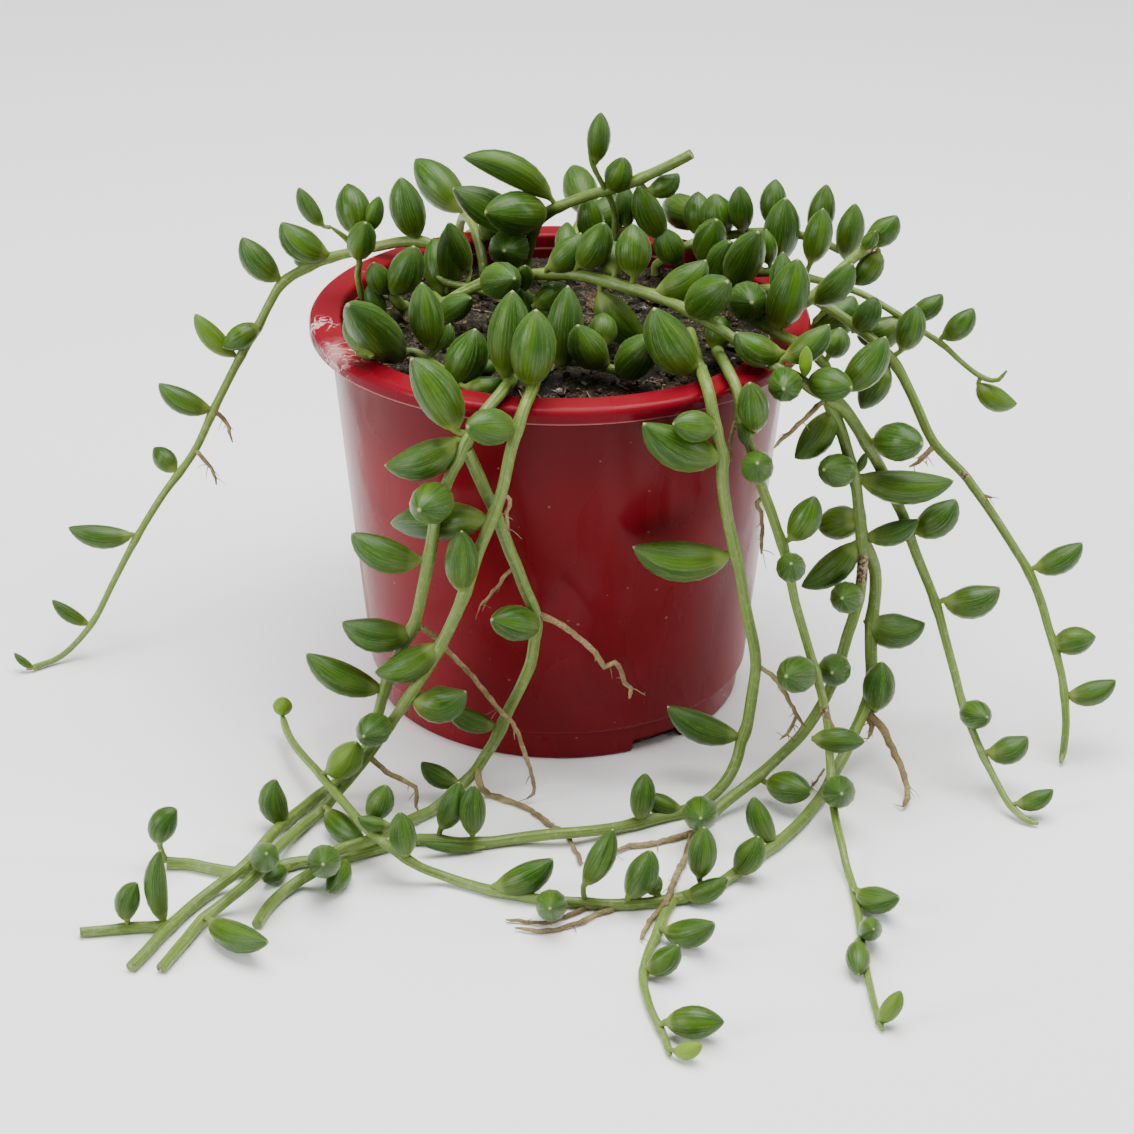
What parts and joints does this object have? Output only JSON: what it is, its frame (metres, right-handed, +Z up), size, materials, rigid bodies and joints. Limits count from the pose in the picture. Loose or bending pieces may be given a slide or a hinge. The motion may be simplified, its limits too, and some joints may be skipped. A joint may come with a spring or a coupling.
{
  "type": "potted trailing succulent",
  "caption": "Round nursery pot of soil with trailing succulent stems of plump pointed leaves that spill over its lip and lie along the surface.",
  "frame": {"origin": "centre of the flat underside of the pot", "axes": "+Z up along the pot's axis, -Y towards the front that the picture shows, +X to its right"},
  "size_m": [0.2253, 0.2363, 0.115],
  "materials": {
    "pot": "thin moulded plastic, glossy on the wall, a little scuffed on the lip",
    "soil": null,
    "leaf": null
  },
  "bodies": {
    "root": {"pot": "pot", "soil": "soil", "stem_far_left": "leaf", "stem_left_side": "leaf", "stem_front_left": "leaf", "stem_front_inner": "leaf", "stem_front_right": "leaf", "stem_right_long": "leaf", "stem_over_crown": "leaf", "stem_far_right": "leaf", "stem_right_bud": "leaf", "stem_top": "leaf", "stem_back_right": "leaf", "stem_right_pair": "leaf", "stem_crown_left": "leaf", "stem_crown_back": "leaf", "stem_crown_middle": "leaf", "stem_crown_sprig": "leaf", "stem_left_middle": "leaf", "stem_back_trail": "leaf", "stem_back_hang": "leaf"}
  },
  "joints": []
}
